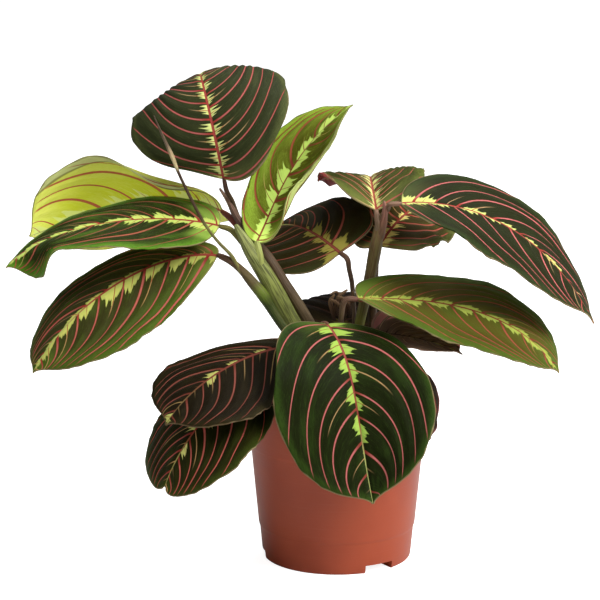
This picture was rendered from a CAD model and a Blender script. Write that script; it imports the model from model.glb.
"""A potted prayer plant: pot, potting mix, two leafy shoots, leaf stalks and leaf blades."""

import math
import random

import bpy
import numpy as np
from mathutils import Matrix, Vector, noise


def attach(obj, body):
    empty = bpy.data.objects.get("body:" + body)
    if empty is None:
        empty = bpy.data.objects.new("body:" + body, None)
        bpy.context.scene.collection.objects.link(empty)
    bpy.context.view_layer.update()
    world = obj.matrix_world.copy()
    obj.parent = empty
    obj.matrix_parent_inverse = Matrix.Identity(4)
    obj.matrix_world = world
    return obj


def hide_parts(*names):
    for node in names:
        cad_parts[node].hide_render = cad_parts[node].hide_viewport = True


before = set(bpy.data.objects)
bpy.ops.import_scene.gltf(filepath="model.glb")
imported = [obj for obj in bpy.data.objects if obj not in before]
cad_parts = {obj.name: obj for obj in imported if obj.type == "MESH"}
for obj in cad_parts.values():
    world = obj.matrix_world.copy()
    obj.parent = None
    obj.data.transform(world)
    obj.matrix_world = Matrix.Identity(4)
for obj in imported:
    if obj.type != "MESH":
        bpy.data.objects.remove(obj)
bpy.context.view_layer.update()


# Pot: a 12 cm nursery pot, injection moulded in one piece in terracotta-coloured plastic. Its thin
# wall tapers, with a stacking step and a shoulder ring; the rim band is thicker, and three recesses
# with a drain slot each are moulded into the foot.

POT_HEIGHT = 107.0
RIM_RADIUS = 60.0
FOOT_RADIUS = 46.6
WALL = 1.3
POT_SIDES = 144
SHOULDER_HEIGHT = 72.0
STEP_HEIGHT = 20.0
BAND_BOTTOM = 99.0
BAND_DEPTH = 2.0
RING_STEP = 0.6
LIP_ROUND = 0.9
FOOT_RING_INSIDE = 38.0
RECESS_ANGLES = [-56, 64, 184]
RECESS_WIDTH = 20.0
RECESS_HEIGHT = 5.0
RECESS_ROOF = 1.2
DRAIN_SLOT = (4.0, 9.0)


def turned(name, profile, sides):
    """A closed solid turned about the pot's axis through (radius, height) pairs in millimetres."""
    radius, height = profile[0]
    bpy.ops.mesh.primitive_circle_add(vertices=sides, radius=radius / 1000, fill_type="NGON")
    piece = bpy.context.object
    piece.name = name
    bpy.ops.object.mode_set(mode="EDIT")
    bpy.ops.mesh.select_all(action="SELECT")
    bpy.ops.transform.translate(value=(0, 0, height / 1000))
    for next_radius, next_height in profile[1:]:
        rise = (next_height - height) / 1000
        bpy.ops.mesh.extrude_region_move(TRANSFORM_OT_translate={"value": (0, 0, rise)})
        scale = next_radius / radius
        centre = (0, 0, next_height / 1000)
        bpy.ops.transform.resize(value=(scale, scale, 1), center_override=centre)
        radius, height = next_radius, next_height
    bpy.ops.mesh.select_all(action="SELECT")
    bpy.ops.mesh.normals_make_consistent(inside=False)
    bpy.ops.object.mode_set(mode="OBJECT")
    return piece


def block(size, place, turn):
    """A box of the given size at a place on the pot's radius, swung about the axis, in mm and degrees."""
    bpy.ops.mesh.primitive_cube_add(size=1)
    piece = bpy.context.object
    bpy.ops.object.mode_set(mode="EDIT")
    bpy.ops.transform.resize(value=[length / 1000 for length in size], center_override=(0, 0, 0))
    bpy.ops.transform.translate(value=[length / 1000 for length in place])
    bpy.ops.object.mode_set(mode="OBJECT")
    piece.rotation_euler.z = math.radians(turn)
    bpy.ops.object.transform_apply(location=True, rotation=True, scale=True)
    return piece


def select_only(piece):
    bpy.ops.object.select_all(action="DESELECT")
    bpy.context.view_layer.objects.active = piece
    piece.select_set(True)


def combine(piece, tool, operation):
    """Cut, join or intersect piece with tool, which is used up."""
    select_only(piece)
    modifier = piece.modifiers.new("combine", "BOOLEAN")
    modifier.operation = operation
    modifier.solver = "EXACT"
    modifier.object = tool
    bpy.ops.object.modifier_apply(modifier=modifier.name)
    bpy.data.objects.remove(tool)


def smooth_by_angle(piece, degrees):
    """Shade the piece smooth, except where its faces meet at a sharper angle."""
    select_only(piece)
    bpy.ops.object.shade_smooth_by_angle(angle=math.radians(degrees))


def wall_radius(height):
    taper = (RIM_RADIUS - BAND_DEPTH - 2 * RING_STEP - FOOT_RADIUS) / POT_HEIGHT
    return FOOT_RADIUS + taper * height


def ring_step(height, out):
    """The outside swells here by one ring step, from a wall that stands out already."""
    return [
        (wall_radius(height - 0.8) + out, height - 0.8),
        (wall_radius(height) + out + 0.1, height),
        (wall_radius(height) + out + RING_STEP - 0.1, height + 0.8),
        (wall_radius(height + 2) + out + RING_STEP, height + 2),
    ]


def pot_profile():
    """Up the outside from the foot, over the rounded rim and down the inside to the floor."""
    step, band = STEP_HEIGHT, BAND_BOTTOM
    outside = [
        (FOOT_RING_INSIDE, 0.8),
        (FOOT_RING_INSIDE + 0.6, 0.0),
        (FOOT_RADIUS - 1.2, 0.0),
        (FOOT_RADIUS - 0.5, 0.2),
        (FOOT_RADIUS - 0.1, 0.7),
        (wall_radius(2), 2.0),
        *ring_step(step, 0.0),
        (wall_radius(46) + RING_STEP, 46),
        *ring_step(SHOULDER_HEIGHT, RING_STEP),
        (wall_radius(band) + 2 * RING_STEP, band),
        (RIM_RADIUS - 0.7, band + 0.05),
        (RIM_RADIUS - 0.15, band + 0.3),
        (RIM_RADIUS, band + 0.9),
    ]
    lip = []
    for angle in range(0, 181, 30):
        turn = math.radians(angle)
        out, up = LIP_ROUND * math.cos(turn), LIP_ROUND * math.sin(turn)
        lip.append((RIM_RADIUS - LIP_ROUND + out, POT_HEIGHT - LIP_ROUND + up))
    inside = [
        (wall_radius(band) - WALL + 0.2, band - 0.5),
        (wall_radius(step) - WALL, step),
        (wall_radius(3) - WALL, 3.0),
        (wall_radius(1.7) - WALL - 0.9, 1.6),
    ]
    return outside + lip + inside


def carve_foot(pot):
    """Roof each recess over, cut it from outside the foot, and cut its drain slot."""
    roof = RECESS_HEIGHT + RECESS_ROOF
    for angle in RECESS_ANGLES:
        cover = block((13.6, RECESS_WIDTH + 2 * RECESS_ROOF, roof), (38.2, 0, roof / 2), angle)
        combine(cover, turned("cover_limit", [(46.0, 0.0), (46.0, 8.0)], POT_SIDES), "INTERSECT")
        combine(pot, cover, "UNION")
    for angle in RECESS_ANGLES:
        recess = block((22, RECESS_WIDTH, RECESS_HEIGHT + 2),
                       (FOOT_RADIUS - 3, 0, RECESS_HEIGHT / 2 - 1), angle)
        combine(pot, recess, "DIFFERENCE")
        combine(pot, block((*DRAIN_SLOT, 20), (FOOT_RADIUS - 9, 0, 5), angle), "DIFFERENCE")


def srgb(red, green, blue):
    """A screen colour from 0 to 255 as the linear colour that a shader takes."""
    channels = []
    for value in (red, green, blue):
        share = value / 255
        channels.append(share / 12.92 if share <= 0.04045 else ((share + 0.055) / 1.055) ** 2.4)
    return (*channels, 1.0)


def give(tree, node, inputs):
    """Give a node's inputs their values, or link sockets to them."""
    for name, value in inputs.items():
        if isinstance(value, bpy.types.NodeSocket):
            tree.links.new(value, node.inputs[name])
        else:
            node.inputs[name].default_value = value


def add_node(tree, kind, inputs=None, **settings):
    """Add a node with its settings and inputs, and return its first output."""
    made = tree.nodes.new(kind)
    for name, value in settings.items():
        setattr(made, name, value)
    give(tree, made, inputs or {})
    return made.outputs[0]


def calculate(tree, operation, *values):
    return add_node(tree, "ShaderNodeMath", dict(enumerate(values)), operation=operation)


def ramp_to(tree, value, start, end, low=0.0, high=1.0):
    """Pass smoothly from low to high while value goes from start to end."""
    inputs = {"Value": value, "From Min": start, "From Max": end, "To Min": low, "To Max": high}
    return add_node(tree, "ShaderNodeMapRange", inputs, interpolation_type="SMOOTHSTEP")


def mix_colours(tree, share, first, second):
    """The first colour where share is 0, the second where it is 1."""
    made = tree.nodes.new("ShaderNodeMix")
    made.data_type = "RGBA"
    give(tree, made, {0: share, 6: first, 7: second})
    return made.outputs[2]


def new_material(name, roughness, specular):
    """A material with its Principled shader, whose roughness and specular level are constants."""
    material = bpy.data.materials.new(name)
    material.use_nodes = True
    shader = material.node_tree.nodes["Principled BSDF"]
    shader.inputs["Roughness"].default_value = roughness
    shader.inputs["Specular IOR Level"].default_value = specular
    return material, material.node_tree, shader


def bump(tree, shader, height, distance):
    """Raise the surface by height, in shares of a distance in millimetres."""
    inputs = {"Height": height, "Distance": distance / 1000, "Strength": 1.0}
    tree.links.new(add_node(tree, "ShaderNodeBump", inputs), shader.inputs["Normal"])


def clouds(tree, place, scale, detail, roughness=0.5):
    """Cloudy values from 0 to 1, finer as scale grows."""
    inputs = {"Vector": place, "Scale": scale, "Detail": detail, "Roughness": roughness}
    return add_node(tree, "ShaderNodeTexNoise", inputs)


def stretched(tree, place, scale):
    return add_node(tree, "ShaderNodeMapping", {"Vector": place, "Scale": scale})


def pot_plastic():
    material, tree, shader = new_material("terracotta_plastic", 0.36, 0.32)
    place = tree.nodes.new("ShaderNodeTexCoord").outputs["Object"]
    cloud = clouds(tree, place, 22.0, 3.0)
    rings = clouds(tree, stretched(tree, place, (30, 30, 900)), 1.0, 2.0)
    grain = clouds(tree, place, 2600.0, 1.0)
    base = mix_colours(tree, ramp_to(tree, cloud, 0.3, 0.7), srgb(158, 67, 39), srgb(170, 76, 46))
    streaked = mix_colours(tree, ramp_to(tree, rings, 0.55, 0.8, 0.0, 0.08), base, srgb(186, 110, 84))
    tree.links.new(streaked, shader.inputs["Base Color"])
    tree.links.new(ramp_to(tree, cloud, 0.2, 0.8, 0.3, 0.42), shader.inputs["Roughness"])
    relief = calculate(tree, "MULTIPLY_ADD", rings, 0.7, calculate(tree, "MULTIPLY", grain, 0.3))
    bump(tree, shader, relief, 0.05)
    return material


pot = turned("nursery_pot", pot_profile(), POT_SIDES)
carve_foot(pot)
smooth_by_angle(pot, 32)
pot.data.materials.append(pot_plastic())
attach(pot, "root")
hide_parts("pot")


# Potting mix: dark peat and bark with a little perlite, filled to 11 mm below the rim and levelled
# by hand, so its top is lumpy with loose crumbs and chips.

MIX_TOP = 96.0
MIX_LUMP = 1.1
MIX_GRAIN = 0.9
MIX_RINGS = 30
MIX_SIDES = 96
MIX_GAP = 0.3
LEVEL_EDGE = 3.0


def mix_height(x, y):
    """Height of the mix's top in millimetres: broad lumps, as in the solid, with finer ones on them."""
    coarse = math.sin(0.21 * x + 1.3) * math.cos(0.24 * y - 0.4)
    middling = math.sin(0.63 * x - 0.31 * y) * math.cos(0.52 * y + 0.2 * x + 2)
    fine = noise.noise(Vector((0.35 * x, 0.35 * y, 0.5))) + 0.6 * noise.noise(Vector((x, y, 4.0)))
    return MIX_TOP + MIX_LUMP * (coarse + 0.7 * middling) + MIX_GRAIN * fine


def mix_body():
    """A plug that fills the pot, its top made of rings that are then raised into lumps."""
    edge = wall_radius(MIX_TOP) - WALL - MIX_GAP
    profile = [(wall_radius(1.9) - WALL - 1.2, 1.9), (wall_radius(4) - WALL - MIX_GAP, 4.0)]
    profile += [(edge * (MIX_RINGS - ring) / MIX_RINGS, MIX_TOP) for ring in range(MIX_RINGS)]
    body = turned("potting_mix_body", profile, MIX_SIDES)
    for vertex in body.data.vertices:
        x, y, z = vertex.co * 1000
        from_wall = edge - math.hypot(x, y)
        if z > MIX_TOP - 0.5:
            rise = (mix_height(x, y) - MIX_TOP) * min(1.0, max(0.0, from_wall / LEVEL_EDGE))
            vertex.co.z = (MIX_TOP + rise) / 1000
    for cut in RECESS_ANGLES:
        room = block((30, RECESS_WIDTH + 3.4, 8), (FOOT_RADIUS - 1.2, 0, 2.9), cut)
        combine(body, room, "DIFFERENCE")
    smooth_by_angle(body, 40)
    return body


def scatter(name, count, sizes, flatness, seed):
    """Loose grains on the top of the mix: low icospheres, dented, squashed and turned by chance."""
    chance = random.Random(seed)
    grains = []
    for _ in range(count):
        reach = (wall_radius(MIX_TOP) - WALL - 2.5) * math.sqrt(chance.random())
        turn = chance.uniform(0, 2 * math.pi)
        x, y = reach * math.cos(turn), reach * math.sin(turn)
        size = chance.uniform(*sizes)
        bpy.ops.mesh.primitive_ico_sphere_add(subdivisions=1, radius=size / 1000)
        grain = bpy.context.object
        for vertex in grain.data.vertices:
            vertex.co *= chance.uniform(0.75, 1.2)
        grain.scale = (1, chance.uniform(0.5, 1), chance.uniform(*flatness))
        grain.rotation_euler = [chance.uniform(-0.5, 0.5), chance.uniform(-0.5, 0.5), chance.uniform(0, 6)]
        grain.location = (x / 1000, y / 1000, (mix_height(x, y) + 0.1 * size) / 1000)
        grains.append(grain)
    return join(name, grains)


def join(name, pieces):
    """One object out of several, with its place in its mesh."""
    select_only(pieces[0])
    for piece in pieces[1:]:
        piece.select_set(True)
    bpy.ops.object.transform_apply(location=True, rotation=True, scale=True)
    bpy.ops.object.join()
    pieces[0].name = name
    return pieces[0]


def new_group(name, inputs, outputs):
    """A shader node group with named sockets of these kinds, and what it is given and has to return."""
    tree = bpy.data.node_groups.new(name, "ShaderNodeTree")
    for in_out, sockets in (("INPUT", inputs), ("OUTPUT", outputs)):
        for socket, kind in sockets.items():
            tree.interface.new_socket(socket, in_out=in_out, socket_type=f"NodeSocket{kind}")
    return tree, tree.nodes.new("NodeGroupInput").outputs, tree.nodes.new("NodeGroupOutput")


def add_group(tree, group, inputs):
    """Place a group in a material and return its outputs."""
    made = tree.nodes.new("ShaderNodeGroup")
    made.node_tree = group
    give(tree, made, inputs)
    return made.outputs


def mix_pattern():
    """Grains that pass by chance from a dark to a light colour, for all that is in the mix."""
    inputs = {"Place": "Vector", "Scale": "Float", "Dark": "Color", "Light": "Color"}
    tree, given, result = new_group("mix pattern", inputs, {"Colour": "Color", "Height": "Float"})
    cloud = clouds(tree, given["Place"], given["Scale"], 5.0, 0.7)
    colour = mix_colours(tree, ramp_to(tree, cloud, 0.35, 0.7), given["Dark"], given["Light"])
    give(tree, result, {"Colour": colour, "Height": cloud})
    return tree


MIX_PATTERN = mix_pattern()


def mix_material(name, dark, light, scale):
    material, tree, shader = new_material(name, 0.9, 0.2)
    place = tree.nodes.new("ShaderNodeTexCoord").outputs["Object"]
    inputs = {"Place": place, "Scale": scale, "Dark": srgb(*dark), "Light": srgb(*light)}
    grain = add_group(tree, MIX_PATTERN, inputs)
    tree.links.new(grain["Colour"], shader.inputs["Base Color"])
    bump(tree, shader, grain["Height"], 0.8)
    return material


mix = mix_body()
crumbs = scatter("mix_crumbs", 420, (0.7, 1.9), (0.4, 0.9), 11)
bark = scatter("mix_bark_chips", 70, (1.8, 3.4), (0.2, 0.45), 12)
perlite = scatter("mix_perlite", 45, (0.6, 1.3), (0.7, 1.0), 13)
mix.data.materials.append(mix_material("peat", (34, 24, 18), (74, 54, 40), 500))
crumbs.data.materials.append(mix_material("peat_crumbs", (40, 28, 20), (92, 68, 48), 260))
bark.data.materials.append(mix_material("bark", (66, 44, 30), (128, 92, 62), 180))
perlite.data.materials.append(mix_material("perlite", (196, 190, 176), (232, 228, 218), 400))
for piece in (mix, crumbs, bark, perlite):
    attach(piece, "root")
    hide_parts("potting_mix")


# Left shoot: canes and stalks that grew as one, leaning out over the pot. Each is a juicy round stem
# wrapped in leaf sheaths; the pale striped main sheath carries most of the leaves, and a thin flower
# spear stands up from it.

STEM_SIDES = 22
STEM_STEP = 1.3
END_RINGS = [0.0, 0.02, 0.08, 0.2, 0.45]
NOSE_LENGTH = 1.2
UNEVENNESS = 0.04
RIBS = 9
RIB_TWIST = 0.03
LEAF_HOLD = 1.7
FOOT = 84.0


def smooth_path(points, step):
    """Points [x, y, z, radius] joined by a smooth curve and set out anew, one every step."""
    knots = np.array(points, float)
    gaps = np.linalg.norm(np.diff(knots[:, :3], axis=0), axis=1)
    slopes = np.diff(knots, axis=0) / gaps[:, None]
    weights = gaps[1:] / (gaps[1:] + gaps[:-1])
    inner = slopes[:-1] * weights[:, None] + slopes[1:] * (1 - weights[:, None])
    tangents = np.vstack([slopes[0], inner, slopes[-1]])
    pieces = []
    for i, gap in enumerate(gaps):
        t = np.linspace(0, 1, max(2, round(gap / step)), endpoint=False)[:, None]
        first = (1 + 2 * t) * (1 - t) ** 2 * knots[i] + t * (1 - t) ** 2 * gap * tangents[i]
        second = t * t * (3 - 2 * t) * knots[i + 1] + t * t * (t - 1) * gap * tangents[i + 1]
        pieces.append(first + second)
    return np.vstack(pieces + [knots[-1:]])


def ring_frames(centres):
    """Two directions across the path at each centre, carried along it without twisting."""
    along = np.gradient(centres, axis=0)
    along /= np.linalg.norm(along, axis=1)[:, None]
    across = np.cross(along[0], [0.3, 1.0, 0.2])
    firsts = []
    for direction in along:
        across = across - direction * across.dot(direction)
        across /= np.linalg.norm(across)
        firsts.append(across)
    firsts = np.array(firsts)
    return firsts, np.cross(along, firsts)


def vertex_places(piece):
    places = np.empty(len(piece.data.vertices) * 3)
    piece.data.vertices.foreach_get("co", places)
    return places.reshape(-1, 3)


def grid(name, columns, rows):
    """A flat grid with its own mesh, and the column and row that each of its vertices lies on."""
    bpy.ops.mesh.primitive_grid_add(x_subdivisions=columns, y_subdivisions=rows, size=1)
    piece = bpy.context.object
    piece.name = name
    places = vertex_places(piece)
    column = np.rint((places[:, 0] + 0.5) * columns).astype(int)
    row = np.rint((places[:, 1] + 0.5) * rows).astype(int)
    return piece, column, row


def set_attribute(piece, name, kind, values):
    """Write one value, or one vector, for each vertex."""
    attribute = piece.data.attributes.new(name, kind, "POINT")
    key = "vector" if kind == "FLOAT_VECTOR" else "value"
    attribute.data.foreach_set(key, np.asarray(values, np.float32).ravel())


def stem(name, points, reach=0.0, lap=0.0, flutes=0.0, seed=0):
    """A round stem through points [x, y, z, radius], its ends rounded off. reach runs it on into the
    leaf it carries, lap lifts one edge of a sheath over the other, flutes raises fine ribs along it."""
    path = smooth_path(points, STEM_STEP)
    ahead = path[-1, :3] - path[-2, :3]
    path[-1, :3] += ahead * reach / np.linalg.norm(ahead)
    run = np.concatenate([[0], np.cumsum(np.linalg.norm(np.diff(path[:, :3], axis=0), axis=1))])
    length = run[-1]
    nose = path[-1, 3] * NOSE_LENGTH
    heel = path[0, 3]
    inner = run[(run > heel) & (run < length - nose)]
    caps = np.array(END_RINGS)
    stops = np.concatenate([caps * heel, inner, length - caps[::-1] * nose])
    rings = np.stack([np.interp(stops, run, path[:, i]) for i in range(4)], axis=1)
    from_end = np.minimum(stops / heel, (length - stops) / nose).clip(0, 1)
    rounding = np.sqrt(1 - (1 - from_end) ** 2)
    firsts, seconds = ring_frames(rings[:, :3])
    piece, column, row = grid(name, STEM_SIDES + 1, len(stops) - 1)
    turn = column / STEM_SIDES
    angle = 2 * np.pi * np.minimum(turn, 1.0)
    chance = np.random.default_rng(seed)
    uneven = 1 + UNEVENNESS * np.interp(stops, np.linspace(0, length, 12), chance.normal(size=12))
    ribs = 1 + flutes * np.cos(RIBS * angle + RIB_TWIST * stops[row])
    radius = rings[row, 3] * uneven[row] * ribs
    radius = (radius + lap * np.where(turn <= 1, turn, 0)) * rounding[row]
    outwards = firsts[row] * np.cos(angle)[:, None] + seconds[row] * np.sin(angle)[:, None]
    places = rings[row, :3] + outwards * radius[:, None]
    piece.data.vertices.foreach_set("co", (places / 1000).ravel())
    wrapped = np.stack([np.cos(angle) * 3, np.sin(angle) * 3, stops[row]], axis=1)
    set_attribute(piece, "around_stem", "FLOAT_VECTOR", wrapped)
    set_attribute(piece, "along_stem", "FLOAT", stops[row] / length)
    bpy.ops.object.mode_set(mode="EDIT")
    bpy.ops.mesh.select_all(action="SELECT")
    bpy.ops.mesh.remove_doubles(threshold=0.00001)
    bpy.ops.mesh.normals_make_consistent(inside=False)
    bpy.ops.object.mode_set(mode="OBJECT")
    smooth_by_angle(piece, 50)
    return piece


def measured(tree, name, output):
    """What the mesh holds for each vertex under this name."""
    made = tree.nodes.new("ShaderNodeAttribute")
    made.attribute_name = name
    return made.outputs[output]


def stem_pattern():
    """Stripes along a stem and darker patches, over the colour that it is given."""
    inputs = {"Around": "Vector", "Colour": "Color", "Stripes": "Color", "Strength": "Float"}
    tree, given, result = new_group("stem pattern", inputs, {"Colour": "Color", "Height": "Float"})
    lines = clouds(tree, stretched(tree, given["Around"], (1, 1, 0.035)), 1.9, 4.0)
    blotch = clouds(tree, stretched(tree, given["Around"], (1, 1, 0.25)), 0.5, 2.0)
    striped = ramp_to(tree, lines, 0.42, 0.62, 0.0, given["Strength"])
    colour = mix_colours(tree, striped, given["Colour"], given["Stripes"])
    shaded = mix_colours(tree, ramp_to(tree, blotch, 0.45, 0.75, 0.0, 0.35), colour, srgb(52, 38, 26))
    give(tree, result, {"Colour": shaded, "Height": lines})
    return tree


STEM_PATTERN = stem_pattern()


def stem_skin(name, stops, stripes, strength, roughness=0.5):
    """Skin whose colour passes through stops (share along the stem, colour), with lengthwise stripes."""
    material, tree, shader = new_material(name, roughness, 0.2)
    ramp = tree.nodes.new("ShaderNodeValToRGB")
    while len(ramp.color_ramp.elements) < len(stops):
        ramp.color_ramp.elements.new(0.5)
    for element, (share, colour) in zip(ramp.color_ramp.elements, stops):
        element.position = share
        element.color = srgb(*colour)
    tree.links.new(measured(tree, "along_stem", "Fac"), ramp.inputs["Fac"])
    inputs = {
        "Around": measured(tree, "around_stem", "Vector"), "Colour": ramp.outputs["Color"],
        "Stripes": srgb(*stripes), "Strength": strength,
    }
    striped = add_group(tree, STEM_PATTERN, inputs)
    tree.links.new(striped["Colour"], shader.inputs["Base Color"])
    bump(tree, shader, striped["Height"], 0.35)
    return material


def dress(piece, node, material):
    piece.data.materials.append(material)
    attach(piece, "root")
    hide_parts(node)


def grow(node, name, points, skin, **shape):
    """One stem of a shoot: its path, the skin it gets, and how it is shaped."""
    dress(stem(name, points, **shape), node, skin)


grow("shoot_left", "left_cane", [
    [-2, 4, FOOT, 4.2], [-5, 2.5, 118, 4.1], [-19, 0, 151, 3.9], [-33, 1, 174, 3.7], [-45, 6, 192, 3.2],
    [-56, 14, 203, 2.3], [-62, 17, 213, 1.7], [-65, 14, 223, 1.3], [-68.8, 5.4, 232.3, 1.5],
    [-69.9, 4.2, 238.1, 1.3],
], stem_skin("brown_cane", [
    (0, (72, 62, 42)), (0.45, (80, 66, 44)), (0.7, (78, 54, 42)), (0.86, (66, 54, 44)), (1, (84, 50, 42)),
], (112, 94, 68), 0.5), reach=LEAF_HOLD, flutes=0.015, seed=1)

grow("shoot_left", "left_main_sheath", [
    [-4, -4, FOOT, 4.4], [-8, -4, 108, 5], [-23, -4, 139, 5.6], [-31, -5, 155, 5.6], [-43, -6, 178, 5.1],
    [-54, -5, 196, 4.1], [-63, -4, 212, 1.2],
], stem_skin("striped_sheath", [
    (0, (70, 76, 40)), (0.35, (98, 104, 52)), (0.7, (134, 142, 70)), (1, (170, 176, 110)),
], (70, 72, 36), 0.8), lap=0.5, flutes=0.03, seed=2)

grow("shoot_left", "left_lower_cane", [
    [-8, -7, FOOT, 2.8], [-10, -8, 115, 2.9], [-20, -8, 134, 2.9], [-33, -9, 148, 3.1], [-42, -9, 162, 3.3],
    [-47, -10, 170, 3.8], [-52, -10, 176, 3.1], [-59, -9, 184, 2.2], [-67, -11.5, 191, 2.1],
    [-73, -11.2, 193.8, 1.7],
], stem_skin("olive_cane", [
    (0, (44, 58, 22)), (0.66, (50, 70, 22)), (0.71, (96, 116, 36)), (0.74, (108, 124, 44)),
    (0.78, (92, 80, 46)), (1, (88, 52, 42)),
], (110, 100, 62), 0.4), reach=LEAF_HOLD, lap=0.3, flutes=0.02, seed=3)

grow("shoot_left", "left_stalk_lime_upright", [
    [-43, -6, 177, 2.8], [-47, -8, 186, 2.4], [-48.5, -6.5, 195, 2.5], [-49.7, -4.3, 200.2, 2.1],
], stem_skin("lime_stalk", [
    (0, (134, 140, 70)), (1, (178, 186, 104)),
], (108, 110, 56), 0.5), reach=LEAF_HOLD, seed=4)

grow("shoot_left", "left_stalk_lime_left", [
    [-52, 6, 192, 2.4], [-60, 15, 204, 1.8], [-68, 19.5, 213, 1.9], [-71.5, 23.4, 214.9, 1.6],
], stem_skin("red_stalk", [
    (0, (92, 70, 46)), (0.5, (120, 58, 48)), (1, (136, 66, 52)),
], (84, 48, 38), 0.5), reach=LEAF_HOLD, seed=5)

grow("shoot_left", "left_stalk_long", [
    [-51, -5, 190, 2.4], [-60, -3, 202, 1.8], [-67, 0.6, 208.4, 1.8], [-72.2, 0.9, 209.8, 1.5],
], stem_skin("olive_stalk", [
    (0, (104, 102, 52)), (0.5, (112, 114, 54)), (1, (128, 122, 62)),
], (84, 62, 38), 0.6), reach=LEAF_HOLD, seed=6)

grow("shoot_left", "left_split_sheath", [
    [-50, 8, 188, 2.7], [-56, 12, 203, 2.6], [-63, 14.5, 214, 1.9], [-68, 13.5, 224, 1.1],
    [-73, 11.5, 232, 0.35],
], stem_skin("brown_sheath", [
    (0, (84, 72, 44)), (0.4, (72, 46, 40)), (0.7, (150, 116, 98)), (1, (188, 150, 128)),
], (58, 38, 34), 0.85), lap=0.5, flutes=0.04, seed=7)

grow("shoot_left", "left_flower_spear", [
    [-55, -8.5, 178, 1.5], [-60, -10, 184, 1.4], [-65, -14, 194, 1.15], [-73, -20, 204, 0.95],
    [-81.5, -26, 217, 0.95], [-88.5, -28, 231, 0.95], [-97, -30, 250, 0.85], [-100, -30, 258, 1.2],
    [-105, -29, 269, 0.75], [-108.5, -28.4, 277, 0.45], [-111, -28, 283, 0.25],
], stem_skin("spear_bracts", [
    (0, (150, 142, 84)), (0.38, (134, 132, 72)), (0.44, (82, 60, 40)), (0.7, (70, 50, 36)),
    (0.73, (232, 214, 158)), (0.79, (196, 170, 128)), (0.84, (118, 98, 78)), (1, (84, 68, 56)),
], (66, 50, 34), 0.5), lap=0.15, flutes=0.03, seed=8)


# Right shoot: an upright olive cane with a thinner one beside it, three stalks that leave it under
# their leaves, and the papery tip of an old sheath, grown as one and skinned as the left shoot is.

grow("shoot_right", "right_cane", [
    [11, 1, FOOT, 3.2], [12, 0, 120, 2.9], [14, 0, 149, 2.8], [17, 0, 163, 3.1], [20.5, 2, 179, 3.5],
    [24, 4, 198, 3.9], [27, 5, 213, 2.8],
], stem_skin("olive_sheathed_cane", [
    (0, (84, 92, 30)), (0.44, (140, 150, 44)), (0.56, (96, 92, 40)), (0.64, (90, 70, 42)),
    (0.85, (96, 76, 46)), (1, (140, 106, 78)),
], (126, 120, 66), 0.55), lap=0.4, flutes=0.025, seed=9)

grow("shoot_right", "right_beside_cane", [
    [21, 3, FOOT, 2.9], [21, 4, 120, 2.9], [22, 4, 147, 2.8], [22, 5, 161, 2.7], [23, 6, 175, 2.6],
    [24, 5, 192, 2],
], stem_skin("dark_cane", [
    (0, (66, 52, 34)), (0.5, (92, 72, 50)), (1, (84, 66, 42)),
], (120, 98, 72), 0.5), flutes=0.02, seed=10)

RIGHT_STALKS = {
    "small_back": [[25, 4, 205, 2.6], [25, 3.4, 211, 2], [24.5, 5.2, 214.4, 2], [24.1, 9.3, 217.4, 1.7]],
    "long": [
        [25, 5, 207, 2.5], [28, 4, 216, 1.9], [31, 2, 220.5, 1.5], [32, -4, 224.5, 1.6],
        [38.1, -4, 224.9, 1.4],
    ],
    "back": [[20, 2, 178, 2.4], [22, 6, 184, 2.1], [24, 9, 192.3, 2.1], [25.7, 13.3, 194.8, 1.8]],
}

right_stalk_skin = stem_skin("right_stalk_skin", [
    (0, (96, 80, 50)), (0.5, (118, 88, 66)), (1, (138, 100, 82)),
], (168, 146, 122), 0.5)
for seed, (stalk_name, points) in enumerate(RIGHT_STALKS.items(), start=11):
    grow("shoot_right", f"right_stalk_{stalk_name}", points, right_stalk_skin, reach=LEAF_HOLD, seed=seed)

grow("shoot_right", "right_sheath_tip", [
    [26, 4, 201, 3], [28, 3, 211, 2.3], [29.3, 1.6, 219, 1.3], [28.6, 0.6, 226, 0.35],
], stem_skin("papery_sheath", [
    (0, (110, 92, 58)), (0.5, (150, 104, 84)), (1, (196, 140, 124)),
], (92, 60, 50), 0.6), lap=0.5, flutes=0.04, seed=14)


# Leaf stalks: eight thin stems that rise straight from the mix, each swelling into a short joint
# under its leaf, which lets the leaf fold up at night.

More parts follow.
